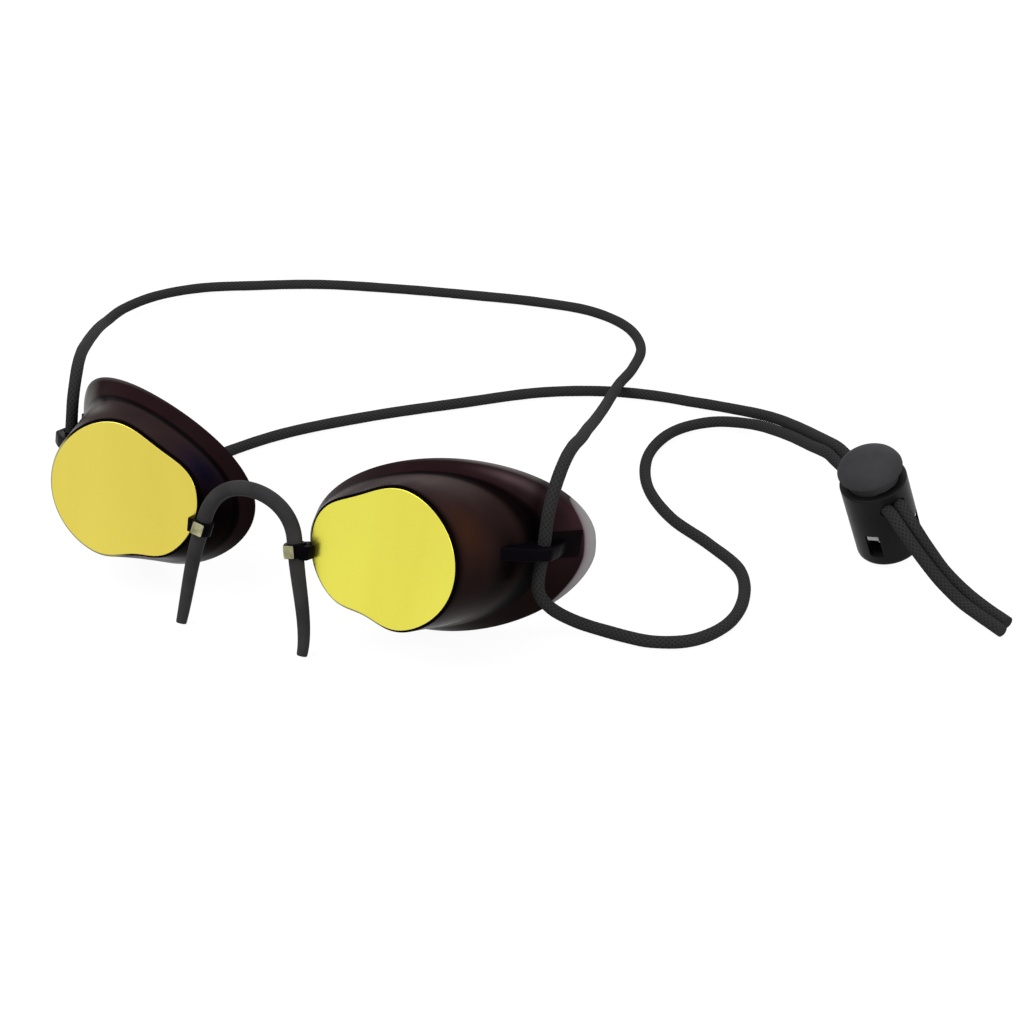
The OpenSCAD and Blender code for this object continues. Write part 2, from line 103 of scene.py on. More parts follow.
# Depths of an outline: (at the nose, at the temple, power between them, extra depth of the low side)
THROAT_SWEEP = (THROAT_NOSE, THROAT_TEMPLE, 2.3, 0.2)
RIM_SWEEP = (RIM_NOSE, RIM_TEMPLE, 2.5, 0.28)


# Camera and light

CAMERA_DOWN, CAMERA_TURN = 32.5, 23.5
WHITE, FILL_LIGHT = (1, 1, 1, 1), 0.36
FLOOR_HALF, FLOOR_DROP, FLOOR_GREY, FLOOR_GLOW, GLOW_SHARE = 3.0, 0.0002, 0.6, 1.17, 0.8
DIRECT_RAYS = ("Is Camera Ray", "Is Glossy Ray", "Is Transmission Ray")


def in_scene(name, data):
    made = bpy.data.objects.new(name, data)
    bpy.context.scene.collection.objects.link(made)
    return made


def camera():
    """The photograph's view, down on the goggles' front from their left."""
    data = bpy.data.cameras.new("camera")
    data.lens = 66.8
    data.sensor_width = 36
    data.clip_start = 0.01
    cam = in_scene("camera", data)
    cam.location = (0.1947, -0.3150, 0.256)
    cam.rotation_euler = (radians(90 - CAMERA_DOWN), 0, radians(CAMERA_TURN))
    bpy.context.scene.camera = cam


def lamp(name, place, aim, size, power):
    """A soft square lamp that points at aim."""
    data = bpy.data.lights.new(name, "AREA")
    data.shape = "SQUARE"
    data.size = size
    data.energy = power
    lit = in_scene(name, data)
    lit.location = place
    lit.rotation_euler = (Vector(aim) - Vector(place)).to_track_quat("-Z", "Y").to_euler()


# Geometry helpers

MIRROR = vec(-1, 1, 1)
# Angles above which edges are hard, eased by a cut, hard after a cut, and hard on a shell
HARD_EDGE, EASED_EDGE, CUT_EDGE, SHELL_EDGE = 50, 40, 38, 60
# A rounded corner's points, and the most that it takes of an edge
CORNER_POINTS, CORNER_SHARE = 5, 0.48
# Points of a smooth curve from one given point to the next
CURVE_FINE = 24
# A slab's flat ring past its rounded edge, and the rounding of its hole
FLAT_HOLD, HOLE_LIP = 0.12, 0.2


def unit(v):
    return v / norm(v)


def mix(a, b, t):
    return a * (1 - t) + b * t


def bend(a, b, c, t):
    """From a to c by the share t, on a curve that heads for b first."""
    return mix(mix(a, b, t), mix(b, c, t), t)


def turn_x(p, deg):
    c, s = cos(radians(deg)), sin(radians(deg))
    x, y, z = p
    return vec(x, y * c - z * s, y * s + z * c)


def turn_z(p, deg):
    c, s = cos(radians(deg)), sin(radians(deg))
    x, y, z = p
    return vec(x * c - y * s, x * s + y * c, z)


def turned(p):
    """A direction from a cup's own frame to its stance on the table."""
    return turn_z(turn_x(turn_z(p, ROLL), 90 - LEAN), -TOE_IN)


def stood(p):
    """A point from a cup's own frame to the left cup's stance on the table."""
    return turned(p) + FACE_CENTRE


def on_side(side):
    """The stance of the left cup for side 1, and of the right cup, its mirror, for side -1."""
    return lambda p: stood(p) * (1 if side > 0 else MIRROR)


def in_lock(p):
    """A point from the lock's own frame to its stance."""
    return LOCK_BASE + turn_z(turn_x(p, LOCK_LEAN), LOCK_TURN)


def add_mesh(name, verts, faces, materials, uv=None, tints=None, slots=None, sharp=HARD_EDGE):
    """A smooth mesh object from points in millimetres, with its faces turned outwards.

    uv is a layer's name and a pair for each corner of each face, tints gives each point a colour,
    slots gives each face a material, and edges sharper than sharp degrees stay hard."""
    mesh = bpy.data.meshes.new(name)
    mesh.from_pydata([tuple(float(c) * MM for c in v) for v in verts], [], [tuple(f) for f in faces])
    if uv:
        layer = mesh.uv_layers.new(name=uv[0])
        layer.data.foreach_set("uv", np.array(uv[1], np.float32).ravel())
    if tints is not None:
        layer = mesh.color_attributes.new("tint", "FLOAT_COLOR", "POINT")
        layer.data.foreach_set("color", np.array([(*t, 1) for t in tints], np.float32).ravel())
    for material in materials:
        mesh.materials.append(material)
    if slots is not None:
        mesh.polygons.foreach_set("material_index", slots)
    mesh.polygons.foreach_set("use_smooth", [True] * len(mesh.polygons))
    work = bmesh.new()
    work.from_mesh(mesh)
    bmesh.ops.recalc_face_normals(work, faces=work.faces)
    work.to_mesh(mesh)
    work.free()
    if sharp:
        mesh.set_sharp_from_angle(angle=radians(sharp))
    return in_scene(name, mesh)


def run_along(path):
    """The distance along a path at each of its points."""
    return np.concatenate([[0], np.cumsum(norm(np.diff(path, axis=0), axis=1))])


def between(a, b, t, low, high):
    """From a to b, as t goes from low to high."""
    return a + (b - a) * (t - low) / (high - low)


def catmull(points, step):
    """Points every step along a smooth curve through the given points."""
    pts = [np.array(p, float) for p in points]
    pts = [2 * pts[0] - pts[1]] + pts + [2 * pts[-1] - pts[-2]]
    dense = []
    for a, b, c, d in zip(pts, pts[1:], pts[2:], pts[3:]):
        gaps = [max(1e-6, norm(q - p)) ** 0.5 for p, q in ((a, b), (b, c), (c, d))]
        k0, k1, k2, k3 = np.cumsum([0] + gaps)
        for t in np.linspace(k1, k2, CURVE_FINE, endpoint=False):
            ab, bc, cd = between(a, b, t, k0, k1), between(b, c, t, k1, k2), between(c, d, t, k2, k3)
            abc, bcd = between(ab, bc, t, k0, k2), between(bc, cd, t, k1, k3)
            dense.append(between(abc, bcd, t, k1, k2))
    dense.append(pts[-2])
    dense = np.array(dense)
    run = run_along(dense)
    count = max(2, int(round(run[-1] / step)) + 1)
    at = np.linspace(0, run[-1], count)
    return np.stack([np.interp(at, run, dense[:, k]) for k in range(3)], axis=1)


def frames_along(path):
    """Direction, side and up at each point, without twist."""
    ways = np.gradient(path, axis=0)
    ways /= norm(ways, axis=1)[:, None]
    side = vec(1.0, 0, 0) if abs(ways[0][2]) > 0.9 else vec(0, 0, 1.0)
    out = []
    for way in ways:
        side = unit(side - way * np.dot(side, way))
        out.append((way, side, np.cross(way, side)))
    return out


def band(a, b, n):
    """The faces between two rings of n points that start at a and b."""
    return [(a + k, a + (k + 1) % n, b + (k + 1) % n, b + k) for k in range(n)]


def tube(name, path, radius, sides, material, caps=(True, True)):
    """A round tube along path. radius has a value for each point, or is a function of angle and run.

    Its UV map counts turns round the tube and millimetres along it."""
    run = run_along(path)
    rings = frames_along(path)
    angles = [2 * pi * k / sides for k in range(sides)]
    verts, faces, uvs = [], [], []
    for i, (centre, (way, side, up)) in enumerate(zip(path, rings)):
        for a in angles:
            r = radius(a, run[i]) if callable(radius) else radius[i]
            verts.append(centre + r * (side * cos(a) + up * sin(a)))
    for i in range(len(path) - 1):
        faces += band(i * sides, (i + 1) * sides, sides)
        for k in range(sides):
            here, there = k / sides, (k + 1) / sides
            uvs += [(here, run[i]), (there, run[i]), (there, run[i + 1]), (here, run[i + 1])]
    for cap, i, order in ((caps[0], 0, -1), (caps[1], len(path) - 1, 1)):
        if cap:
            faces.append([i * sides + k for k in range(sides)][::order])
            uvs += [(0.5, run[i])] * sides
    return add_mesh(name, verts, faces, [material], uv=("along", uvs))


def rounded(points, radius, closed=True):
    """An outline with each corner rounded. radius is one value, or one for each corner."""
    pts = [np.array(p, float) for p in points]
    out = []
    for i, b in enumerate(pts):
        r = radius[i] if hasattr(radius, "__len__") else radius
        if r <= 0 or (not closed and i in (0, len(pts) - 1)):
            out.append(b)
            continue
        a, c = pts[i - 1], pts[(i + 1) % len(pts)]
        start = b + unit(a - b) * min(r, norm(a - b) * CORNER_SHARE)
        end = b + unit(c - b) * min(r, norm(c - b) * CORNER_SHARE)
        out += [bend(start, b, end, t) for t in np.linspace(0, 1, CORNER_POINTS)]
    return out


def rectangle(wide, low, high, radius):
    """A rounded rectangle, wide to each side and from low to high."""
    return rounded([(-wide, low), (wide, low), (wide, high), (-wide, high)], radius)


def divided(a, b, step):
    """Points from a to short of b, at most step apart."""
    count = max(1, int(ceil(norm(b - a) / step)))
    return [mix(a, b, k / count) for k in range(count)]


def refined(outline, step):
    """A closed outline with its long edges divided."""
    return [p for a, b in zip(outline, outline[1:] + outline[:1]) for p in divided(a, b, step)]


def stepped(profile, step):
    """An open profile with its long runs divided."""
    return [p for a, b in zip(profile, profile[1:]) for p in divided(a, b, step)] + [profile[-1]]


def drawn_in(outline, d):
    """A closed outline moved inwards by d."""
    pts = np.array(outline)
    way = np.roll(pts, -1, axis=0) - np.roll(pts, 1, axis=0)
    way /= norm(way, axis=1)[:, None]
    normal = np.stack([-way[:, 1], way[:, 0]], axis=1)
    x, y = pts[:, 0], pts[:, 1]
    turns_left = (x * np.roll(y, -1) - np.roll(x, -1) * y).sum() > 0
    return pts + normal * (d if turns_left else -d)


def slab(name, outline, half, edge, place, materials, hole=None):
    """A plate with rounded edges: a flat outline, thick by half to each side.

    place takes [x, y, height] to the table. A hole is (x, y, radius), and the outline goes round it."""
    rounds = [(0, 1), (0.29, 0.29), (1, 0)]
    levels = [(0, edge + FLAT_HOLD)] + [(edge * up, edge * side) for side, up in reversed(rounds)]
    rings = [(drawn_in(outline, into), -half + low) for low, into in levels]
    rings += [(drawn_in(outline, into), half - low) for low, into in reversed(levels)]
    if hole:
        middle, radius = np.array(hole[:2]), hole[2]
        pts = np.array(outline) - middle
        ways = pts / norm(pts, axis=1)[:, None]
        lips = [(radius + HOLE_LIP, 0), (radius + HOLE_LIP * 0.3, HOLE_LIP * 0.3), (radius, HOLE_LIP)]
        rings += [(middle + ways * r, half - low) for r, low in lips]
        rings += [(middle + ways * r, -half + low) for r, low in reversed(lips)]
    n = len(outline)
    verts = [place(vec(p[0], p[1], w)) for ring, w in rings for p in ring]
    faces = []
    for r in range(len(rings) if hole else len(rings) - 1):
        faces += band(r * n, (r + 1) % len(rings) * n, n)
    if not hole:
        faces += [tuple(range(n)), tuple(range((len(rings) - 1) * n, len(rings) * n))]
    return add_mesh(name, verts, faces, materials)


def turning(name, profile, sides, place, materials):
    """A solid turned round the z axis. A profile that starts off the axis closes on itself."""
    closed = profile[0][0] > 1e-6
    verts, faces, marks = [], [], []
    for r, z in profile:
        marks.append((len(verts), sides if r > 1e-6 else 1))
        angles = [2 * pi * k / sides for k in range(marks[-1][1])]
        verts += [place(vec(r * cos(a), r * sin(a), z)) for a in angles]
    for i in range(len(profile) if closed else len(profile) - 1):
        (a, na), (b, nb) = marks[i], marks[(i + 1) % len(marks)]
        for k in range(sides):
            j = (k + 1) % sides
            faces.append(tuple(dict.fromkeys((a + k % na, a + j % na, b + j % nb, b + k % nb))))
    return add_mesh(name, verts, faces, materials)


def cut_and_eased(piece, cutters, ease):
    """Takes the cutters from the piece and eases its new edges, as one mesh."""
    for cutter in cutters:
        step = piece.modifiers.new(cutter.name, "BOOLEAN")
        step.operation = "DIFFERENCE"
        step.solver = "EXACT"
        step.object = cutter
    soften = piece.modifiers.new("ease", "BEVEL")
    soften.width = ease * MM
    soften.segments = 2
    soften.limit_method = "ANGLE"
    soften.angle_limit = radians(EASED_EDGE)
    even = piece.modifiers.new("even", "WEIGHTED_NORMAL")
    even.keep_sharp = True
    bpy.context.view_layer.update()
    baked = bpy.data.meshes.new_from_object(piece.evaluated_get(bpy.context.evaluated_depsgraph_get()))
    piece.modifiers.clear()
    piece.data = baked
    baked.set_sharp_from_angle(angle=radians(CUT_EDGE))
    for cutter in cutters:
        bpy.data.objects.remove(cutter)


def stands_for(piece, body, node_name):
    """The piece rides on a body in place of a CAD node."""
    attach(piece, body)
    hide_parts(node_name)


def ride_all(made, body):
    for piece in made:
        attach(piece, body)


# Materials

def shader_of(mat):
    return mat.node_tree.nodes["Principled BSDF"]


def feed(mat, socket, value):
    """Links an output to an input, or sets the input to a plain value."""
    if isinstance(value, bpy.types.NodeSocket):
        mat.node_tree.links.new(value, socket)
    else:
        socket.default_value = value


def filled(mat, made, **values):
    """A node of a material or the world, with its inputs fed by name."""
    for key, value in values.items():
        feed(mat, made.inputs[key.replace("_", " ")], value)
    return made


def node(mat, kind, **values):
    """A new node of a material or the world."""
    return filled(mat, mat.node_tree.nodes.new("ShaderNode" + kind), **values)


def new_material(name, color, rough, shine=0.5, metallic=0.0):
    """A Principled material with plain values."""
    mat = bpy.data.materials.new(name)
    mat.use_nodes = True
    filled(mat, shader_of(mat), Base_Color=(*color, 1), Roughness=rough, Specular_IOR_Level=shine,
           Metallic=metallic)
    return mat


def ramp(mat, value, stops):
    """A colour ramp over value, with stops of (place, colour)."""
    made = node(mat, "ValToRGB", Fac=value)
    elements = made.color_ramp.elements
    while len(elements) < len(stops):
        elements.new(0.5)
    for element, (place, color) in zip(elements, stops):
        element.position = place
        element.color = (*color, 1)
    return made.outputs["Color"]


def ranged(mat, value, low, high, start=0.0, end=1.0):
    """The value's span from start to end, stretched to low and high."""
    made = node(mat, "MapRange", Value=value, From_Min=start, From_Max=end, To_Min=low, To_Max=high)
    return made.outputs["Result"]


def mixed(mat, share, one, two):
    """One colour turning to the other with share."""
    made = node(mat, "Mix")
    made.data_type = "RGBA"
    for i, value in ((0, share), (6, one), (7, two)):
        feed(mat, made.inputs[i], value)
    return made.outputs[2]


def scaled(mat, color, share):
    """A colour made darker or lighter by a share."""
    made = node(mat, "VectorMath")
    made.operation = "SCALE"
    feed(mat, made.inputs[0], color)
    filled(mat, made, Scale=share)
    return made.outputs[0]


def counted(mat, operation, *values):
    """A sum over values that are numbers or outputs."""
    made = node(mat, "Math")
    made.operation = operation
    for i, value in enumerate(values):
        feed(mat, made.inputs[i], value)
    return made.outputs[0]


def noise(mat, scale, detail=3.0, rough=0.5, stretch=None):
    """Noise over the object's own coordinates, in metres."""
    place = node(mat, "TexCoord").outputs["Object"]
    if stretch:
        place = node(mat, "Mapping", Scale=stretch, Vector=place).outputs["Vector"]
    made = node(mat, "TexNoise", Scale=scale, Detail=detail, Roughness=rough, Vector=place)
    return made.outputs["Fac"]


def bump(mat, height, distance, strength):
    """A relief of the surface from a height."""
    made = node(mat, "Bump", Strength=strength, Distance=distance, Height=height)
    filled(mat, shader_of(mat), Normal=made.outputs["Normal"])


def paint(mat, color):
    """Makes an output the material's colour."""
    filled(mat, shader_of(mat), Base_Color=color)


def roughen(mat, scale, detail, low, high):
    """Roughness that goes from low to high with a noise."""
    filled(mat, shader_of(mat), Roughness=ranged(mat, noise(mat, scale, detail), low, high))


def uv_parts(mat, layer):
    """The two numbers of a UV layer."""
    uv = node(mat, "UVMap")
    uv.uv_map = layer
    split = node(mat, "SeparateXYZ", Vector=uv.outputs["UV"])
    return split.outputs["X"], split.outputs["Y"]


def gold_mirror(name, tint):
    """Vacuum-coated gold: nearly even, with the faint streaks of a moulded window."""
    mat = new_material(name, tint, 0.28, metallic=1.0)
    streaks = noise(mat, 60, 3, 0.5, (1.0, 0.35, 0.12))
    speckle = noise(mat, 900, 2, 0.6)
    both = counted(mat, "MULTIPLY_ADD", speckle, 0.12, streaks)
    deep = (tint[0] * 0.95, tint[1] * 0.93, tint[2] * 0.86)
    paint(mat, ramp(mat, both, [(0.4, deep), (0.7, tint)]))
    roughen(mat, 90, 2, 0.25, 0.3)
    return mat


def pad_gold():
    """The same coat on the eyelet's rough little pad, paler and worn."""
    mat = new_material("pad_gold", (0.30, 0.285, 0.15), 0.5, shine=0.15)
    wear = noise(mat, 520, 4, 0.65)
    paint(mat, ramp(mat, wear, [(0.32, (0.22, 0.21, 0.115)), (0.5, (0.37, 0.35, 0.195)),
                                (0.7, (0.52, 0.50, 0.32))]))
    bump(mat, wear, 0.00006, 0.4)
    return mat


def plum_plastic():
    """Dark smoke plastic: plum and brown, with painted light and shade in its tints, and painted light
    through its thin temple edge.
    """
    mat = new_material("plum_plastic", (0.017, 0.0075, 0.0095), 0.22, shine=0.004)
    # The vertex tints carry painted light and shade: highlights, light through the plastic, and shade in
    # the crease
    tint = node(mat, "VertexColor")
    tint.layer_name = "tint"
    cloud = ranged(mat, noise(mat, 75, 4, 0.55), 0.75, 1.25, 0.25, 0.75)
    # The pale crescent at the temple is painted light through the thin flange, mixed in by its mask
    past, _ = uv_parts(mat, "edge")
    share = ranged(mat, past, 0, 1, -0.25, 0.2)
    pale = ramp(mat, ranged(mat, past, 0, 1, 0, 3.2),
                [(0.0, (0.24, 0.18, 0.20)), (0.25, (0.33, 0.30, 0.315)), (0.6, (0.37, 0.355, 0.36)),
                 (1.0, (0.35, 0.35, 0.355))])
    paint(mat, mixed(mat, share, scaled(mat, tint.outputs["Color"], cloud), pale))
    roughen(mat, 160, 2, 0.17, 0.3)
    bump(mat, noise(mat, 90, 2), 0.00002, 0.3)
    return mat


def window_smoke():
    """The window seen from inside: amber smoke under the mirror coat."""
    mat = new_material("window_smoke", (0.055, 0.036, 0.012), 0.12, shine=0.2)
    paint(mat, ramp(mat, noise(mat, 70, 3), [(0.3, (0.045, 0.028, 0.010)), (0.7, (0.075, 0.050, 0.016))]))
    return mat


def dark_plastic(name, low, high, rough, shine):
    """Moulded plastic or nylon with a fine grain."""
    mat = new_material(name, high, rough, shine=shine)
    paint(mat, ramp(mat, noise(mat, 120, 3), [(0.3, low), (0.7, high)]))
    roughen(mat, 500, 3, rough - 0.07, rough + 0.07)
    bump(mat, noise(mat, 2600, 2), 0.00003, 0.3)
    return mat


def rubber():
    """Smooth black bridge rubber, greyer where it's handled."""
    mat = new_material("bridge_rubber", (0.034, 0.033, 0.035), 0.5, shine=0.02)
    paint(mat, ramp(mat, noise(mat, 160, 4), [(0.3, (0.030, 0.029, 0.031)), (0.75, (0.047, 0.046, 0.048))]))
    roughen(mat, 420, 3, 0.42, 0.56)
    bump(mat, noise(mat, 1400, 3), 0.00003, 0.35)
    return mat


# The braid's stitches round the cord, and the length of two of them along it
BRAID_YARNS, BRAID_RUN = 8, 2.6


def cord_sheath():
    """Black braid: two sets of yarns that wind opposite ways, with fine filaments."""
    mat = new_material("cord_sheath", (0.02, 0.02, 0.02), 0.8, shine=0.02)
    around, run = uv_parts(mat, "along")
    turns = counted(mat, "MULTIPLY", around, 2 * pi * BRAID_YARNS)
    length = counted(mat, "MULTIPLY", run, 2 * pi / BRAID_RUN * 2)
    one = counted(mat, "SINE", counted(mat, "ADD", turns, length))
    two = counted(mat, "SINE", counted(mat, "SUBTRACT", turns, length))
    weave = counted(mat, "MAXIMUM", one, two)
    fibre = noise(mat, 2600, 3, 0.6)
    greys = [(place, (grey, grey, grey)) for place, grey in ((0.1, 0.021), (0.8, 0.029), (1.0, 0.035))]
    paint(mat, ramp(mat, counted(mat, "MULTIPLY_ADD", fibre, 0.6, weave), greys))
    bump(mat, counted(mat, "MULTIPLY_ADD", fibre, 0.3, weave), 0.00010, 0.4)
    return mat


def spring_steel():
    """Bright drawn wire with fine marks along it."""
    mat = new_material("spring_steel", (0.75, 0.76, 0.78), 0.22, metallic=1.0)
    roughen(mat, 900, 3, 0.16, 0.32)
    paint(mat, ramp(mat, noise(mat, 300, 2), [(0.3, (0.62, 0.63, 0.65)), (0.7, (0.8, 0.81, 0.83))]))
    return mat


# World, floor and stage

def seen_directly(mat):
    """A value that is 1 for what the camera sees straight, reflected or through clear parts."""
    path = node(mat, "LightPath")
    total = path.outputs[DIRECT_RAYS[0]]
    for ray in DIRECT_RAYS[1:]:
        total = counted(mat, "MAXIMUM", total, path.outputs[ray])
    return total


def world():
    """White where it is seen, and a plain grey fill for everything else."""
    studio = bpy.data.worlds.new("studio")
    bpy.context.scene.world = studio
    studio.use_nodes = True
    filled(studio, studio.node_tree.nodes["Background"], Color=WHITE,
           Strength=ranged(studio, seen_directly(studio), FILL_LIGHT, 1.0))


def floor():
    """White with a faint shadow where it is seen, and light grey to other light."""
    mat = bpy.data.materials.new("floor_white")
    mat.use_nodes = True
    mat.node_tree.nodes.remove(shader_of(mat))
    lit = node(mat, "BsdfDiffuse", Color=(FLOOR_GREY, FLOOR_GREY, FLOOR_GREY, 1))
    glow = node(mat, "Emission", Color=WHITE, Strength=FLOOR_GLOW)
    blend = node(mat, "MixShader", Fac=ranged(mat, seen_directly(mat), 0.0, GLOW_SHARE))
    feed(mat, blend.inputs[1], lit.outputs[0])
    feed(mat, blend.inputs[2], glow.outputs[0])
    filled(mat, mat.node_tree.nodes["Material Output"], Surface=blend.outputs[0])
    mesh = bpy.data.meshes.new("floor")
    r = FLOOR_HALF
    mesh.from_pydata([(-r, -r, 0), (r, -r, 0), (r, r, 0), (-r, r, 0)], [], [(0, 1, 2, 3)])
    mesh.materials.append(mat)
    ground = in_scene("floor", mesh)
    ground.location.z = -FLOOR_DROP


def stage():
    """Camera, lamps, world and floor."""
    bpy.context.scene.view_settings.view_transform = "Standard"
    camera()
    world()
    floor()
    lamp("key", place=(-0.35, -0.35, 0.75), aim=(0.02, 0.04, 0), size=0.7, power=5.6)
    lamp("side", place=(0.75, -0.1, 0.45), aim=(0.02, 0.04, 0.02), size=0.5, power=2.2)
    lamp("back", place=(0.0, 0.7, 0.5), aim=(0.02, 0.04, 0.02), size=0.6, power=2.0)


# Cord

LEFT_LUG = stood(LUG_AT)
RIGHT_LUG = LEFT_LUG * MIRROR
STRAND_GAP = CORD_D / 2 + 0.15
SLOT_Z = BARREL_H - SLOT_DROP
SLOT_R = CORD_D / 2 + SLOT_FIT
SLOT_HALF = STRAND_GAP + SLOT_R
# The soft strands touch, this much nearer to the lock's middle than the part's
STRAND_CLOSED = 0.13
STRAND_RUN = (-20, -17, -10, 0, 7, 9.5)
BRAID_RELIEF, CORD_UNEVEN = 0.05, 0.02
CORD_STEP, CORD_SIDES = 0.5, 28


def lock_strand(side):
    """The straight run of one strand through the lock."""
    return [in_lock(vec(x, side * (STRAND_GAP - STRAND_CLOSED), SLOT_Z)) for x in STRAND_RUN]


# The part's routes, laid to the photograph at the head cord's far corner and before the lock
HEAD_ROUTE = [
    LEFT_LUG, (62.2, 10.2, 33), (62.2, 14.2, 37.6), (61.6, 20.4, 39.6), (60.2, 28.4, 38.4),
    (57.2, 41.4, 33.2), (52.6, 57.4, 26), (47.5, 76.4, 17.6), (42.9, 95.4, 10.6), (38.5, 118, 5),
    (37.1, 133, 2.4), (34.3, 147.1, 1.5), (26.2, 157.6, 1.5), (13, 163.1, 1.5), (-4, 162.6, 1.5),
    (-24, 159, 1.5), (-48, 153.6, 1.5), (-70.2, 147.2, 1.5), (-87.7, 138.8, 1.5), (-102.6, 129.4, 1.9),
    (-111.1, 118.4, 2.5), (-113.9, 106.2, 3.5), (-110.5, 91.8, 6.4), (-102, 77, 13.2), (-90.1, 58.3, 22.3),
    (-78.6, 40, 30.6), (-69.3, 24.9, 36.5), (-64, 15.7, 37.6), (-62, 10.2, 33), RIGHT_LUG]
RIGHT_ROUTE = [
    RIGHT_LUG, (-62, 4.2, 14), (-61.8, 2.6, 9), (-61.2, 3.8, 4), (-60.6, 8.2, 1.6), (-57, 22.2, 1.5),
    (-48.8, 40.7, 1.5), (-36.8, 61.6, 1.5), (-19.8, 79.6, 1.5), (0.2, 96.6, 1.5), (19.2, 111.6, 1.5),
    (38.2, 119.9, 1.5), (57.2, 122.5, 1.5), (70.2, 121.1, 2.8), (82.1, 114.6, 6.5), (92.15, 104.3, 11.25),
    (100.55, 94.0, 15.57), *lock_strand(1),
    (132.1, 61, 17.6), (137.2, 59.4, 12.4), (142.2, 58.7, 7.4), (148.2, 58.1, 3.2), (153.6, 56.1, 1.6),
    (158, 53.3, 1.5)]
LEFT_ROUTE = [
    LEFT_LUG, (62.1, 4.6, 15), (64, 5.8, 10.6), (68.4, 10.1, 5), (75.4, 13.2, 1.9), (86, 14.1, 1.5),
    (94.3, 18.4, 1.5), (99.5, 27.3, 1.5), (99.8, 38.2, 1.5), (95.4, 49.2, 1.5), (85, 57.1, 1.5),
    (72.4, 64.8, 1.5), (61.8, 77, 1.5), (57, 92.2, 1.5), (59.4, 106, 1.5), (67.1, 113.4, 2),
    (78.1, 112.4, 4.4), (90.2, 102.5, 9.4), (99.8, 90.7, 14.6), *lock_strand(-1),
    (130.1, 58.7, 17), (135.6, 56.4, 12.4), (141, 55.5, 7.4), (146.7, 54.9, 3.2), (152, 53.1, 1.6),
    (157.5, 49.5, 1.5)]


def laid(route):
    """A route's smooth path, which never dips into the table."""
    path = catmull(route, CORD_STEP)
    path[:, 2] = np.maximum(path[:, 2], CORD_D / 2)
    return path


def braid_radius(a, run):
    """The braid's relief: crossing yarns, on a cord that is a little uneven."""
    turn = 2 * pi * run / BRAID_RUN
    yarns = sin(BRAID_YARNS / 2 * a + turn) * sin(BRAID_YARNS / 2 * a - turn)
    uneven = sin(run * 0.83) + sin(run * 0.37 + 1.3)
    return CORD_D / 2 - BRAID_RELIEF * (0.5 - 0.5 * yarns) - CORD_UNEVEN * (1 - 0.5 * uneven)


def cord_piece(name, path, node_name, sheath, far_end):
    """One stretch of the cord: a braided tube from its lug, in place of a CAD node."""
    piece = tube(name, path, braid_radius, CORD_SIDES, sheath, caps=(True, far_end == "bare"))
    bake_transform(piece)
    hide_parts(node_name)
    length = round(float(run_along(path)[-1]) * MM, 3)


def cords():
    """The elastic cord: round the head, and from each lug through the lock to its end."""
    sheath = cord_sheath()
    head = laid(HEAD_ROUTE)
    middle = (len(head) - 1) // 2 // 2 * 2
    cord_piece("head_cord_left", head[:middle + 1], "head_cord", sheath,
               "object")
    cord_piece("head_cord_right", head[middle:][::-1], "head_cord", sheath,
               "object")
    cord_piece("left_cord_run", laid(LEFT_ROUTE), "left_cord", sheath,
               "bare")
    cord_piece("right_cord_run", laid(RIGHT_ROUTE), "right_cord", sheath,
               "bare")


# Eye cups

SECTIONS, EYELET_SIDES, NECK_OVER, FOOT_IN = 180, 48, 1.0, 0.62
PAD_FACE = EAR_D / 2 + PAD_PROUD
# Where a section's points lie along the wall and the flange
WALL_AT = (0.02, 0.08, 0.16, 0.25, 0.35, 0.45, 0.55, 0.65, 0.75, 0.81, 0.86)
FLANGE_AT = (0.2, 0.3, 0.4, 0.5, 0.6, 0.7, 0.8, 0.88, 0.94, 0.985)


def power(v, e):
    """A sine or cosine raised for a superellipse, with its sign kept."""
    return copysign(abs(v) ** (2 / e), v)


def on_form(form, deg):
    """The point of an outline at an angle."""
    length, height, shift, rise, sharp, slant, narrowing, waists = form
    u, v = power(cos(radians(deg)), sharp), power(sin(radians(deg)), sharp)
    depth, place, width = waists[0 if v > 0 else 1]
    y = height / 2 * v * (1 + narrowing * u) * (1 - depth * exp(-((u - place) / width) ** 2))
    return vec(shift + length / 2 * u + slant * y, rise + y)


def face_at(deg, inset, z):
    """The point of the face's outline at an angle, inset into it and at a height."""
    d = unit(on_form(FACE_FORM, deg + 1) - on_form(FACE_FORM, deg - 1))
    p = on_form(FACE_FORM, deg) - inset * vec(d[1], -d[0])
    return vec(p[0], p[1], z)


def swept(form, sweep, deg):
    """The point of an outline at an angle, at its own depth between nose and temple."""
    p = on_form(form, deg)
    share = min(1, max(0, (p[0] - form[2] + form[0] / 2) / form[0]))
    depth = sweep[0] + (sweep[1] - sweep[0]) * share ** sweep[2] - sweep[3] * p[1] * share
    return vec(p[0], p[1], -depth)


def foot_and_rim(deg):
    """The wall's foot and the flange's edge at an angle."""
    return swept(THROAT_FORM, THROAT_SWEEP, deg), swept(RIM_FORM, RIM_SWEEP, deg)


def inward(a, b):
    """The way into the wall, square to the run from a to b."""
    d = b - a
    out, along = unit(vec(d[0], d[1], 0)), unit(d)
    return unit(-out * abs(along[2]) + vec(0, 0, -1) * np.dot(out, along))


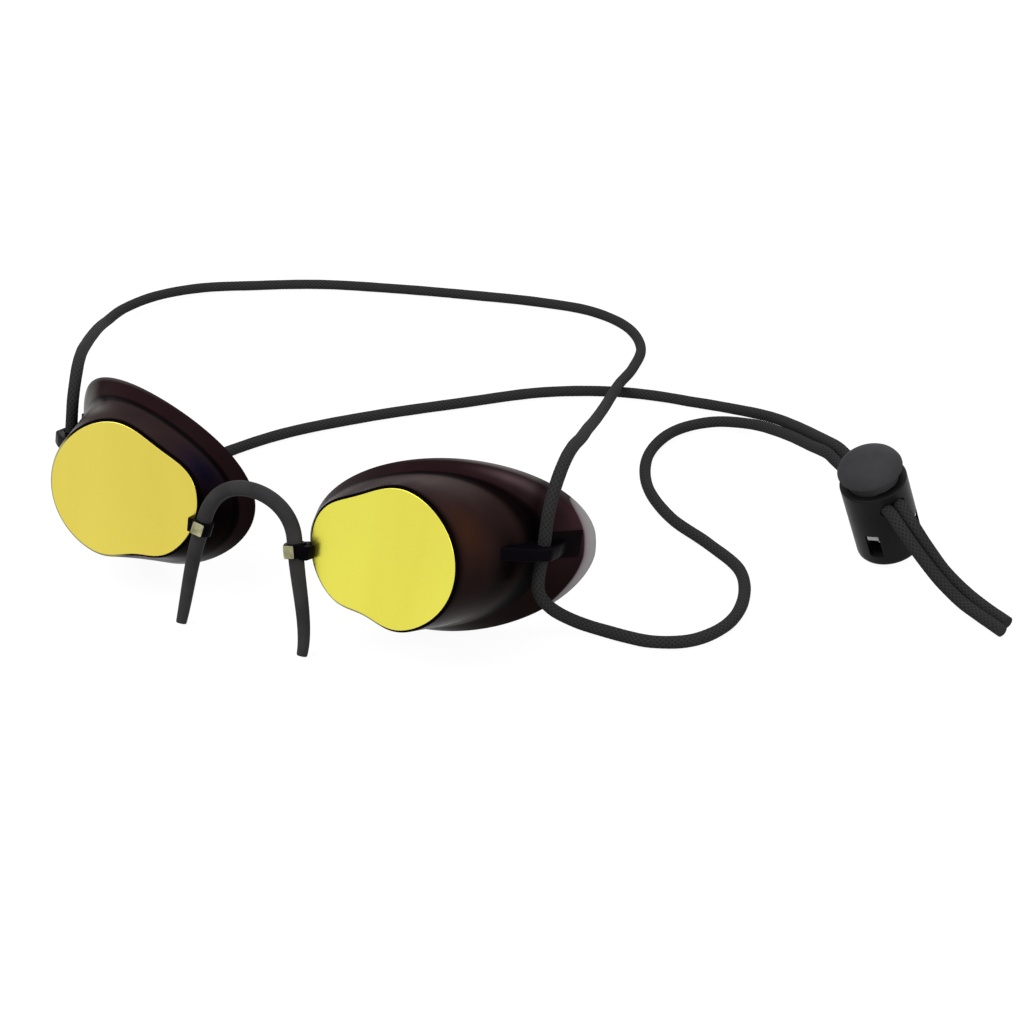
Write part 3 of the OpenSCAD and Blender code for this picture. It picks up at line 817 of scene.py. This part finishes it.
def section(deg):
    """One section through the cup's wall, from the face over the flange and back inside.

    Each point has a mark: 0 at the face's edge, 1 at the wall's foot, 2 at the flange's edge, and on to
    3 and 4 on the way back inside."""
    edge = face_at(deg, 0, -BEVEL)
    foot, rim = foot_and_rim(deg)
    wall_in, flange_in = inward(edge, foot) * WALL_T, inward(foot, rim) * FLANGE_T
    foot_in = foot + (wall_in + flange_in) * FOOT_IN
    edge_in = face_at(deg, WALL_T, -WINDOW_T)
    back = rim + flange_in
    low, high = mix(edge, foot, WALL_AT[-1]), mix(foot, rim, FLANGE_AT[0])
    far, near = mix(foot_in, back, 0.3), mix(foot_in, edge_in, 0.25)
    points = [(face_at(deg, BEVEL, 0), -0.05), (face_at(deg, BEVEL * 0.9, -BEVEL * 0.02), -0.04),
              (face_at(deg, BEVEL * 0.12, -BEVEL * 0.8), -0.02), (edge, -0.01)]
    points += [(mix(edge, foot, t), t) for t in WALL_AT]
    points += [(bend(low, foot, high, t), 0.86 + 0.34 * t) for t in (0.15, 0.3, 0.45, 0.6, 0.75, 0.88)]
    points += [(mix(foot, rim, t), 1 + t) for t in FLANGE_AT]
    points += [(rim + flange_in * 0.1, 2.02), (rim + flange_in * 0.35, 2.06), (rim + flange_in * 0.7, 2.12),
               (mix(foot_in, rim + flange_in * 0.95, 0.985), BACK_MARK)]
    points += [(mix(foot_in, back, t), 3 - BACK_RUN * t) for t in (0.92, 0.8, 0.6, 0.45, 0.3)]
    points += [(bend(far, foot_in, near, t), 2.76 + 0.44 * t) for t in (0.2, 0.4, 0.6, 0.8, 1)]
    points += [(mix(foot_in, edge_in, t), 3 + 0.9 * t) for t in (0.4, 0.6, 0.8, 0.93)]
    return points + [(edge_in, 3.97)]


# Colours of the smoke plastic; many are painted light and shade: painted light where light comes through it
# unevenly, painted highlights and painted shade
SMOKE_LIGHT, SMOKE = vec(0.062, 0.047, 0.045), vec(0.024, 0.012, 0.012)
BROWN, PLUM = vec(0.011, 0.0055, 0.0045), vec(0.0175, 0.0080, 0.0095)
PINK, RIM_LIGHT = vec(0.095, 0.062, 0.067), vec(0.165, 0.155, 0.155)
BLACK, VIOLET = vec(0.0012, 0.0006, 0.0009), vec(0.0045, 0.0028, 0.013)
AMBER, GREY = vec(0.050, 0.019, 0.010), vec(0.105, 0.098, 0.092)
# KHAKI is the pale colour of the bevel's painted reflection
KHAKI = vec(0.42, 0.39, 0.22)

# Soft patches of painted light and shade on each side's cup, for highlights, light through the plastic and
# shade: (colour, share, angle, width, mark, spread of marks)
ALL_ALONG = (0, inf)
NOSE_SHADE = [(BLACK, 0.9, 188, 28, *ALL_ALONG)]
WALL_LIGHT_AND_SHADE = {
    1: [(SMOKE_LIGHT, 1, 80, 22, 0.6, 0.4), (AMBER, 0.85, 30, 20, 0.2, 0.16),
        (SMOKE_LIGHT * 0.55, 1, 318, 16, 0.3, 0.3), (BLACK, 1, 0, 26, 0.62, 0.16)] + NOSE_SHADE,
    -1: [(GREY, 1, 58, 9, 0.5, 0.2), (VIOLET, 0.95, 148, 24, 0.4, 0.6)] + NOSE_SHADE}
PLUM_LIGHT_AND_SHADE = [(PLUM * 1.8, 1, 18, 16, 1.6, 0.3), (PLUM * 0.7, 1, 165, 40, *ALL_ALONG),
                (PLUM * 3, 1, 28, 16, 1.78, 0.14)]
FLANGE_LIGHT_AND_SHADE = {1: PLUM_LIGHT_AND_SHADE + [(PINK, 0.85, 58, 14, 1.58, 0.16)],
                  -1: PLUM_LIGHT_AND_SHADE + [(GREY * 0.75, 1, 38, 11, *ALL_ALONG)]}
# The mark where the flange's inner side begins, and how far its marks run
BACK_MARK, BACK_RUN = 2.2, 0.8
# The pale crescent at the temple, painted light through the thin flange: its middle, half its angle, and
# its width
PALE_ANGLE, PALE_HALF, PALE_WIDTH = 2, 37, 3.3


def bell(x, middle, width):
    """1 at the middle, and softly down to 0 past the width."""
    return exp(-((x - middle) / width) ** 2)


def turn_from(deg, middle):
    """Degrees from middle to deg, the short way round."""
    return (deg - middle + 180) % 360 - 180


def close_to(deg, angle, width):
    """1 at the angle, and softly down to 0 past the width to each side."""
    return bell(turn_from(deg, angle), 0, width)


def patched(color, patches, deg, mark):
    """A colour with the patches of painted light and shade laid over it."""
    for patch, share, angle, width, middle, spread in patches:
        color = mix(color, patch, share * close_to(deg, angle, width) * bell(mark, middle, spread))
    return color


def smooth(x, low, high):
    """0 below low, 1 above high, and smooth between them."""
    t = min(1, max(0, (x - low) / (high - low)))
    return t * t * (3 - 2 * t)


def cup_tint(deg, mark, side):
    """The plastic's colour at an angle round the cup and a mark along its section, with painted light and
    shade laid on it.
    """
    height = sin(radians(deg))
    if mark > BACK_MARK:
        return mix(PLUM * 1.1, BROWN * 1.6, smooth(mark, 3, 3.6))
    if mark < 1:
        color = patched(mix(BROWN, SMOKE, smooth(height, -0.5, 0.5)), WALL_LIGHT_AND_SHADE[side], deg, mark)
    else:
        color = patched(mix(BROWN * 1.2, PLUM, smooth(height, -0.6, 0.1)), FLANGE_LIGHT_AND_SHADE[side], deg, mark)
    # Painted shade in the crease and under the window, and a painted highlight along the upper rim
    reach = 0.10 + 0.05 * close_to(deg, 15, 50)
    color = mix(color, BLACK, 0.9 * (1 - smooth(abs(mark - 1), reach * 0.7, reach * 1.7)))
    color = mix(color, BLACK, 0.8 * (1 - smooth(mark, 0, 0.07)))
    if mark > 1.8:
        lit = (0.9 if side > 0 else 0.35) * close_to(deg, 68, 30)
        color = mix(color, RIM_LIGHT, lit * smooth(mark, 1.8, 1.95))
    return color


def bevel_painted_light(deg, side):
    """Painted light on the bevel: a pale painted reflection where it looks down past the face, and painted
    shade elsewhere.
    """
    middle, half = (240, 26) if side > 0 else (330, 56)
    share = 1 - smooth(abs(turn_from(deg, middle)), half, half + 14)
    return mix(BLACK * 2, KHAKI, share)


def pale_width(deg):
    """Width of the pale crescent of painted light on the flange at the temple."""
    x = turn_from(deg, PALE_ANGLE) / PALE_HALF
    return PALE_WIDTH * sqrt(max(0, 1 - x * x)) - (0.6 if abs(x) >= 1 else 0)


def cup_shell(label, side, place, body, materials):
    """A cup's shell, closed by its window: sections round it, coloured by angle and mark, with painted
    light and shade.
    """
    rows, marks, tints, past = [], [], [], []
    for i in range(SECTIONS):
        deg = 360 * i / SECTIONS
        points = section(deg)
        foot, rim = foot_and_rim(deg)
        span, wide = norm(rim - foot), pale_width(deg)
        for p, mark in points:
            rows.append(p)
            marks.append(mark)
            tints.append(bevel_painted_light(deg, side) if mark < 0 else cup_tint(deg, mark, side))
            # How far each flange point lies inside the crescent of painted light, for the material's mask
            off = abs(mark - 2) * span if mark < 2 else max(0, mark - BACK_MARK) / BACK_RUN * span
            past.append(wide - off if 1 < mark < 3 else -1)
    m = len(rows) // SECTIONS
    verts = rows + [vec(0, 0, 0.0), vec(0, 0, -WINDOW_T)]
    tints += [BLACK, BLACK]
    marks += [0, 4]
    past += [-1, -1]
    front, rear = len(verts) - 2, len(verts) - 1
    faces, slots = [], []
    for i in range(SECTIONS):
        j = (i + 1) % SECTIONS
        faces.append((front, i * m, j * m))
        faces += [(i * m + k, i * m + k + 1, j * m + k + 1, j * m + k) for k in range(m - 1)]
        faces.append((rear, j * m + m - 1, i * m + m - 1))
        slots += [0] * m + [1]
    pairs = [(past[v], marks[v]) for f in faces for v in f]
    piece = add_mesh(label + "_cup_shell", [place(v) for v in verts], faces, materials,
                     uv=("edge", pairs), tints=tints, slots=slots, sharp=SHELL_EDGE)
    stands_for(piece, body, label + "_cup")


def at_ear(p):
    """From the eyelet's own frame, with the tube along z, to the cup's."""
    return EAR_AT + turn_z(vec(p[0], p[2], -p[1]), EAR_SPLAY)


def on_pad(place, depth):
    """From a plate's own frame to the eyelet's front, with its middle at a depth."""
    return lambda p: place(at_ear(vec(p[0], depth - p[2], p[1])))


def eyelet(label, place, body, black):
    """The ring round the bridge tube, its square pad, and the neck that joins it to the face."""
    inner, outer, half = TUBE_D / 2 + TUBE_FIT, EAR_D / 2, EAR_H / 2
    ring = rounded([(inner, -half), (outer, -half), (outer, half), (inner, half)], [0.12, 0.25, 0.25, 0.12])
    made = [turning(label + "_eyelet", ring, EYELET_SIDES, lambda p: place(at_ear(p)), [black])]
    pad = refined(rectangle(PAD_W / 2, -half, half, 0.3), 0.4)
    thick = (PAD_FACE - inner - 0.05) / 2
    made.append(slab(label + "_eyelet_pad", pad, thick, 0.2, on_pad(place, -PAD_FACE + thick), [black]))
    wall_x, reach = NOSE_X + BEVEL + 0.2 + NECK_OVER, outer - 0.35
    round_ear = [(EAR_AT[0] + reach * cos(radians(d)), EAR_AT[2] + reach * sin(radians(d)))
                 for d in range(35, -76, -10)]
    outline = rounded([(wall_x, EAR_FRONT + EAR_WALL)] + round_ear
                      + [(NOSE_X - BEVEL, -WINDOW_T * 0.9), (NOSE_X + WALL_T, -WINDOW_T * 0.9),
                         (NOSE_X + WALL_T, -COAT_T * 2), (wall_x, -COAT_T * 2)],
                      [0.5] + [0.0] * len(round_ear) + [0.4, 0.1, 0.1, 0.1])

    def splayed(p):
        share = min(1, max(0, (wall_x - p[0]) / (wall_x - EAR_AT[0])))
        x = p[0] - share * p[2] * tan(radians(EAR_SPLAY))
        return place(vec(x, EAR_AT[1] + p[2], p[1]))

    made.append(slab(label + "_neck", refined(outline, 0.5), half, 0.2, splayed, [black]))
    ride_all(made, body)


def lug(label, place, body, black, matt):
    """The level rib with the cord's hole, and the bare block behind it on the flange."""

    def flat(p):
        """From a plate's own frame to the table, level at the lug's height."""
        return place(vec(p[0], LUG_AT[1] + p[2], p[1]))

    tip, half = LUG_AT[0] + LUG_BORE + LUG_WALL, LUG_BORE + LUG_WALL / 3
    x, z = LUG_AT[0], LUG_AT[2]
    outline = rounded([(LENS_L / 2 + WALL_T, -THROAT_TEMPLE * 0.45), (tip - LUG_BORE * 1.5, z + 2.5 * half),
                       (tip, z + half), (tip, z - half), (tip - LUG_BORE * 0.6, z - 3.5 * half),
                       (x - LUG_WALL * 1.35, z - 2.4 * half), (THROAT_L / 2 - LUG_OUT / 2, z - half)], 0.9)
    made = [slab(label + "_lug", refined(outline, 0.45), LUG_H / 2, 0.35, flat, [black],
                 hole=(x, z, LUG_BORE))]
    foot, rim = foot_and_rim(BLOCK_ANGLE)
    run, out = unit(rim - foot), -inward(foot, rim)
    start = foot + run * LUG_FRONT

    def at(way, height):
        p = start + run * way + out * height
        return p[0], p[2]

    outline = rounded([at(0, -FLANGE_T * 0.75), at(0, BLOCK_PROUD / 5), at(BLOCK_PROUD, BLOCK_PROUD),
                       at(BLOCK_L - BLOCK_PROUD, BLOCK_PROUD), at(BLOCK_L, BLOCK_PROUD / 5),
                       at(BLOCK_L, -FLANGE_T * 0.75)], 0.15)
    made.append(slab(label + "_block", refined(outline, 0.5), BLOCK_H / 2, 0.15, flat, [matt]))
    ride_all(made, body)


def coat(label, place, body, gold, pad):
    """The mirror coat on the face inside its bevel, and on the eyelet's pad."""
    rings = [(BEVEL + 0.1, 0.0), (BEVEL + 0.12, COAT_T * 0.7), (BEVEL + 0.18, COAT_T * 0.95),
             (BEVEL + 0.3, COAT_T)]
    verts = [place(face_at(360 * i / SECTIONS, inset, z)) for inset, z in rings for i in range(SECTIONS)]
    verts += [place(vec(0, 0, z)) for z in (COAT_T, 0)]
    faces = []
    for r in range(len(rings) - 1):
        faces += band(r * SECTIONS, (r + 1) * SECTIONS, SECTIONS)
    last = (len(rings) - 1) * SECTIONS
    faces += [(last + i, last + (i + 1) % SECTIONS, len(verts) - 2) for i in range(SECTIONS)]
    faces += [((i + 1) % SECTIONS, i, len(verts) - 1) for i in range(SECTIONS)]
    piece = add_mesh(label + "_coat", verts, faces, [gold])
    stands_for(piece, body, label + "_mirror_coat")
    high = EAR_H / 2 - 0.15
    outline = refined(rectangle(PAD_W / 2 - 0.1, -high, high, 0.35), 0.3)
    cap = slab(label + "_pad_coat", outline, COAT_T / 2, 0.07, on_pad(place, -PAD_FACE - COAT_T / 2), [pad])
    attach(cap, body)


def eye_cups():
    """Both cups, each with its shell, eyelet, lug and coat."""
    plum, smoke = plum_plastic(), window_smoke()
    black = dark_plastic("cup_black", (0.0018, 0.0014, 0.0022), (0.004, 0.003, 0.005), 0.3, 0.01)
    matt = dark_plastic("block_black", (0.003, 0.002, 0.0025), (0.006, 0.004, 0.005), 0.5, 0.01)
    pad = pad_gold()
    # Both lenses share one coating; their slightly different golds are painted reflection colour, its shift
    # with the angle it is seen at
    for label, side, tint in (("left", 1, (0.765, 0.712, 0.095)), ("right", -1, (0.735, 0.622, 0.104))):
        body, place = label + "_eye", on_side(side)
        gold = gold_mirror(label + "_gold", tint)
        cup_shell(label, side, place, body, [plum, smoke])
        eyelet(label, place, body, black)
        lug(label, place, body, black, matt)
        coat(label, place, body, gold, pad)


# Nose bridge

LEG_RISE, LEG_PULL, SHOULDER_AT = vec(0, 3.4, 5), 0.3, 0.46
GRIP_OVER, CURVE_STEPS, BRIDGE_SIDES = 1, 34, 40
# The leg's end is softly rounded: points along its first step, and their shares of the radius
TIP_AT, TIP_R = (0.0, 0.12, 0.4), (0.72, 0.9, 1.0)


def curve(p, t):
    """The point at t on a cubic curve with four control points."""
    return (1 - t) ** 3 * p[0] + 3 * (1 - t) ** 2 * t * p[1] + 3 * (1 - t) * t * t * p[2] + t ** 3 * p[3]


def nose_bridge():
    """One rubber tube: a tapered leg, up through an eyelet, over the arch and down again."""
    ear_point = stood(EAR_AT)
    splay = radians(EAR_SPLAY)
    axis = turned(vec(-sin(splay), cos(splay), 0))
    grip = EAR_H / 2 + GRIP_OVER
    end = vec(LEG_SPREAD, -LEG_REACH, TAIL_D / 2 * LEG_RISE[1] / norm(LEG_RISE))
    top = vec(0, ear_point[1] + ARCH_BACK, ear_point[2] + ARCH_RISE)
    above, below = ear_point + axis * grip, ear_point - axis * grip
    arch = [above, above + axis * ARCH_RISE / 2, vec(ear_point[0] * SHOULDER_AT, top[1], top[2]), top]
    leg = [end, end + LEG_RISE, below - axis * ear_point[2] * LEG_PULL, below]
    shares = np.linspace(0, 1, CURVE_STEPS)
    in_eyelet = [mix(below, above, t) for t in (0.2, 0.4, 0.6, 0.8)]
    path = [curve(leg, t) for t in shares] + in_eyelet + [curve(arch, t) for t in shares]
    radius = [mix(TAIL_D, TUBE_D, min(1, t ** 0.7)) / 2 for t in shares]
    radius += [TUBE_D / 2] * (len(path) - len(radius))
    path = [path[0] + (path[1] - path[0]) * t for t in TIP_AT] + path[1:]
    radius = [radius[0] * share for share in TIP_R] + radius[1:]
    path += [p * MIRROR for p in path[-2::-1]]
    radius += radius[-2::-1]
    piece = tube("nose_bridge", np.array(path), radius, BRIDGE_SIDES, rubber())
    stands_for(piece, "bridge", "nose_bridge_tube")


# Cord lock

BORE = BARREL_D / 2 - BARREL_WALL
PLUNGER_R = BORE - PLUNGER_FIT
WINDOW_Z = FLOOR_T + 1
WINDOW_AT = (50, 130, 230, 310)
HEAD_Z = BARREL_H + TRAVEL + 0.1
SPRING_ROOM, SPRING_DROP, CURL_STEPS = 0.4, 2.6, 16
SPRING_TOP = SLOT_Z - SLOT_R - SPRING_DROP
# The catches stop short of the barrel's outside by CATCH_SUNK
CATCH_H, CATCH_FIT, CATCH_SUNK = 1.6, 0.25, 0.3
CATCH_TOP = WINDOW_Z + WINDOW_H - 0.05
NECK_R = BUTTON_D / 2 - 0.7
LOCK_SIDES, LOCK_STEP, SPRING_SIDES, SPRING_STEP = 96, 0.9, 12, 0.4


def prism(name, outline, low, high, place):
    """A cutter: an outline from low to high, which place takes to the table."""
    n = len(outline)
    verts = [place(vec(p[0], p[1], w)) for w in (low, high) for p in outline]
    return add_mesh(name, verts, [tuple(range(n)), tuple(range(n, 2 * n))] + band(0, n, n), [], sharp=None)


def across(deg):
    """From a form's own frame to the lock's, with z out of its side at an angle."""
    return lambda p: in_lock(turn_z(vec(p[2], p[0], p[1]), deg))


def strand_slot(name, rise):
    """The two strands' slot through the lock, taller than they are by rise."""
    turns = [radians(d) for d in range(0, 91, 10)]
    middle = SLOT_HALF - SLOT_R
    low = [(-middle - SLOT_R * cos(d), SLOT_Z - SLOT_R * sin(d)) for d in turns]
    low += [(middle + SLOT_R * sin(d), SLOT_Z - SLOT_R * cos(d)) for d in turns]
    outline = low + [(-y, 2 * SLOT_Z + rise - z) for y, z in low]
    outline = [p for k, p in enumerate(outline) if np.hypot(*np.subtract(p, outline[k - 1])) > 1e-4]
    return prism(name, outline, -BARREL_D, BARREL_D, across(0))


def barrel(material):
    """The blind barrel, with the strands' slot and four windows cut through."""
    outer = BARREL_D / 2
    profile = rounded([(0, 0), (outer, 0), (outer, BARREL_H), (BORE, BARREL_H), (BORE, FLOOR_T),
                       (0, FLOOR_T)], [0, 0.9, 0.45, 0.25, 0.4, 0], closed=False)
    piece = turning("barrel_shell", stepped(profile, LOCK_STEP), LOCK_SIDES, in_lock, [material])
    cutters = [strand_slot("slot_cutter", 0)]
    opening = rectangle(WINDOW_W / 2, WINDOW_Z, WINDOW_Z + WINDOW_H, 0.5)
    for a in WINDOW_AT:
        cutters.append(prism(f"window_cutter_{a}", opening, BORE - 1, BORE + BARREL_WALL + 1, across(a)))
    cut_and_eased(piece, cutters, 0.18)
    stands_for(piece, "lock", "lock_barrel")


def plunger(material, glint_paint):
    """The plunger: skirt, domed head, and four catches in the barrel's windows, their pale colour a painted
    glint.
    """
    skirt_z = CATCH_TOP - CATCH_H
    inner = PLUNGER_R - SKIRT_T
    stem = rounded([(0, SPRING_TOP), (inner, SPRING_TOP), (inner, skirt_z), (PLUNGER_R, skirt_z),
                    (PLUNGER_R, HEAD_Z), (NECK_R, HEAD_Z)], [0, 0.3, 0.2, 0.2, 0.2, 0], closed=False)
    dome = catmull([(r, z, 0) for r, z in (
        (NECK_R, HEAD_Z), (BUTTON_D / 2 - 0.15, HEAD_Z + 0.35), (BUTTON_D / 2, HEAD_Z + 0.9),
        (BUTTON_D / 2 - 0.2, HEAD_Z + 1.5), (BUTTON_D / 2 - 0.9, HEAD_Z + BUTTON_H * 0.58),
        (BUTTON_D * 0.33, HEAD_Z + BUTTON_H * 0.84), (BUTTON_D * 0.16, HEAD_Z + BUTTON_H * 0.96),
        (0, HEAD_Z + BUTTON_H))], 0.35)
    profile = stepped(stem, LOCK_STEP)[:-1] + [(max(0, p[0]), p[1]) for p in dome]
    piece = turning("plunger_shell", profile, LOCK_SIDES, in_lock, [material])
    cut_and_eased(piece, [strand_slot("plunger_cutter", TRAVEL)], 0.15)
    stands_for(piece, "button", "lock_plunger")
    tall, reach = CATCH_H / 2, (SKIRT_T + BARREL_WALL - CATCH_SUNK) / 2
    outline = refined(rectangle(WINDOW_W / 2 - CATCH_FIT, -tall, tall, 0.25), 0.4)
    middle = vec(0, CATCH_TOP - tall, inner + reach)
    # The catches' pale colour is a painted glint
    for k, a in enumerate(WINDOW_AT):
        catch = slab(f"plunger_catch_{k + 1}", outline, reach, 0.2,
                     lambda p, out=across(a): out(middle + p), [glint_paint])
        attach(catch, "button")


def spring():
    """The helix under the plunger, at its length with the button out."""
    r = PLUNGER_R - SKIRT_T - WIRE_D / 2 - SPRING_ROOM
    low, high = FLOOR_T + WIRE_D * 1.5, SPRING_TOP - WIRE_D * 1.5

    def at(deg, z):
        return in_lock(vec(r * cos(radians(deg)), r * sin(radians(deg)), z))

    route = [at(-11, FLOOR_T), at(-11, FLOOR_T + WIRE_D), at(-8, low - 0.2 * WIRE_D)]
    count = CURLS * CURL_STEPS
    route += [at(360 * i / CURL_STEPS, mix(low, high, i / count)) for i in range(count + 1)]
    route += [at(8, high + 0.2 * WIRE_D), at(11, SPRING_TOP - WIRE_D), at(11, SPRING_TOP)]
    path = catmull(route, SPRING_STEP)
    piece = tube("spring_wire", path, [WIRE_D / 2] * len(path), SPRING_SIDES, spring_steel())
    stands_for(piece, "lock", "lock_spring")
    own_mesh(piece)


def cord_lock():
    barrel(dark_plastic("barrel_black", (0.0065, 0.0065, 0.007), (0.011, 0.011, 0.0115), 0.36, 0.06))
    # The catches' pale, mottled colour is a painted glint in the windows
    plunger(dark_plastic("button_black", (0.036, 0.036, 0.038), (0.05, 0.05, 0.053), 0.6, 0.03),
            dark_plastic("catch_painted_glint", (0.14, 0.14, 0.14), (0.72, 0.72, 0.73), 0.2, 0.5))
    spring()


stage()
cords()
eye_cups()
nose_bridge()
cord_lock()
